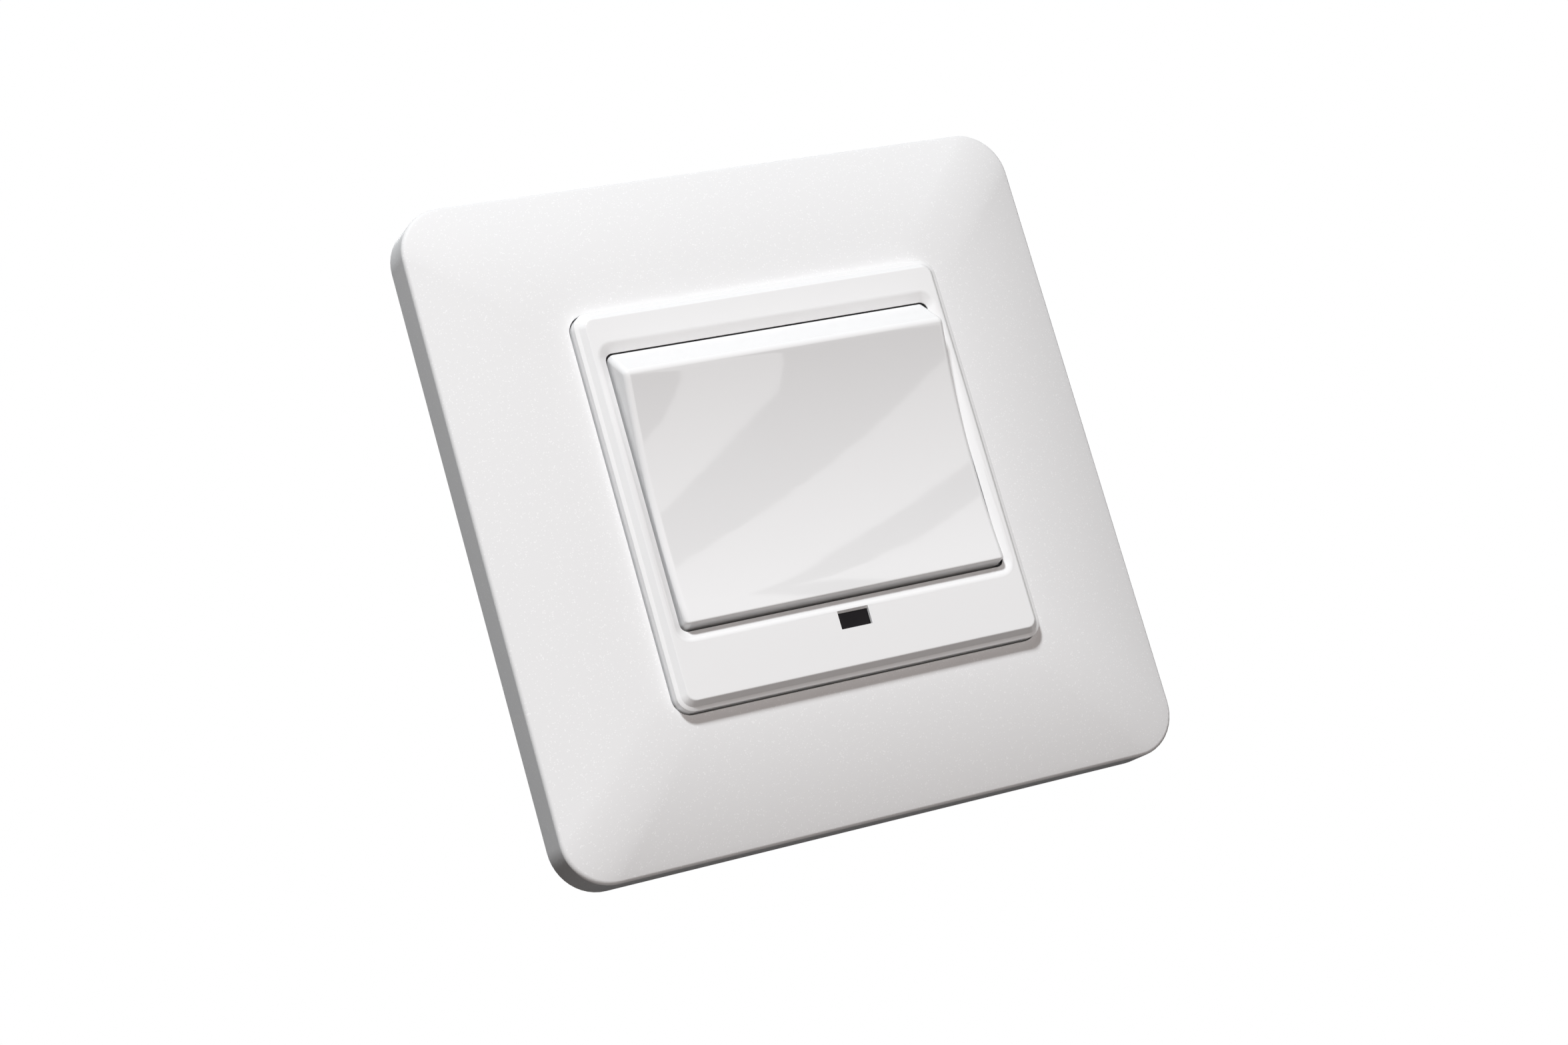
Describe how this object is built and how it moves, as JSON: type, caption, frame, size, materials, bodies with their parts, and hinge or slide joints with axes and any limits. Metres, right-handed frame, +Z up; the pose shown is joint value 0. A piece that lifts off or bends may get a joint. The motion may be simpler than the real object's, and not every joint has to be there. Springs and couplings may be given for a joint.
{
  "type": "smart light switch",
  "caption": "Square wall light switch with a crowned cover frame, a raised centre plate, a dished spring-return rocker, a receiver window and a relay module behind the wall plane.",
  "frame": {"origin": "centre of the yoke's back face, on the wall plane, midway between the box screw slots", "axes": "+X to the right when seen from the room, +Y into the wall, +Z up; the front faces -Y"},
  "size_m": [0.086, 0.0376, 0.086],
  "materials": {
    "pearl_white": "matte pearl lacquer with fine sparkle",
    "gloss_white": "smooth, glossy",
    "smoked_lens": "glossy, infrared-clear smoked plastic",
    "grey_plastic": "fine matte",
    "housing_grey": "fine matte",
    "zinc_steel": "zinc plated",
    "spring_steel": "smooth",
    "brass": "satin",
    "circuit_board": "solder lacquer",
    "black_plastic": "fine matte",
    "relay_case": "smooth",
    "film_case": "smooth",
    "can_sleeve": "shrunk sleeve",
    "ceramic_blue": "lacquered",
    "winding_tape": "tape"
  },
  "bodies": {
    "switch_module": {"cover_frame": "pearl_white", "centre_plate": "gloss_white", "receiver_lens": "smoked_lens", "pivot_pin": "zinc_steel", "mechanism_base": "grey_plastic", "return_spring": "spring_steel", "support_yoke": "zinc_steel", "rear_housing": "housing_grey", "housing_screws": "zinc_steel", "control_board": "circuit_board", "power_board": "circuit_board", "push_switch": "black_plastic", "infrared_receiver": "black_plastic", "control_chip": "black_plastic", "relay": "relay_case", "transformer": "winding_tape", "film_capacitor": "film_case", "storage_capacitor": "can_sleeve", "fuse": "black_plastic", "surge_absorber": "ceramic_blue", "rectifier": "black_plastic", "board_connector": "black_plastic", "terminal_block": "grey_plastic", "terminal_clamps": "brass", "terminal_screws": "zinc_steel"},
    "rocker": {"rocker": "gloss_white", "rocker_cradle": "grey_plastic"},
    "plunger": {"switch_plunger": "grey_plastic"}
  },
  "joints": [
    {"name": "rocker_press", "type": "hinge", "parent": "switch_module", "child": "rocker", "pos_m": [0, -0.004, 0.00197], "axis": [-1, 0, 0], "range_deg": [0, 7.5], "stiffness_Nm_per_rad": 0.05, "springref_deg": -28.65},
    {"name": "plunger_slide", "type": "slide", "parent": "switch_module", "child": "plunger", "axis": [0, 1, 0], "range_m": [0, 0.0011]}
  ],
  "couplings": [
    {"joint": "plunger_slide", "follows": "rocker_press", "m_per_rad": 0.008}
  ]
}
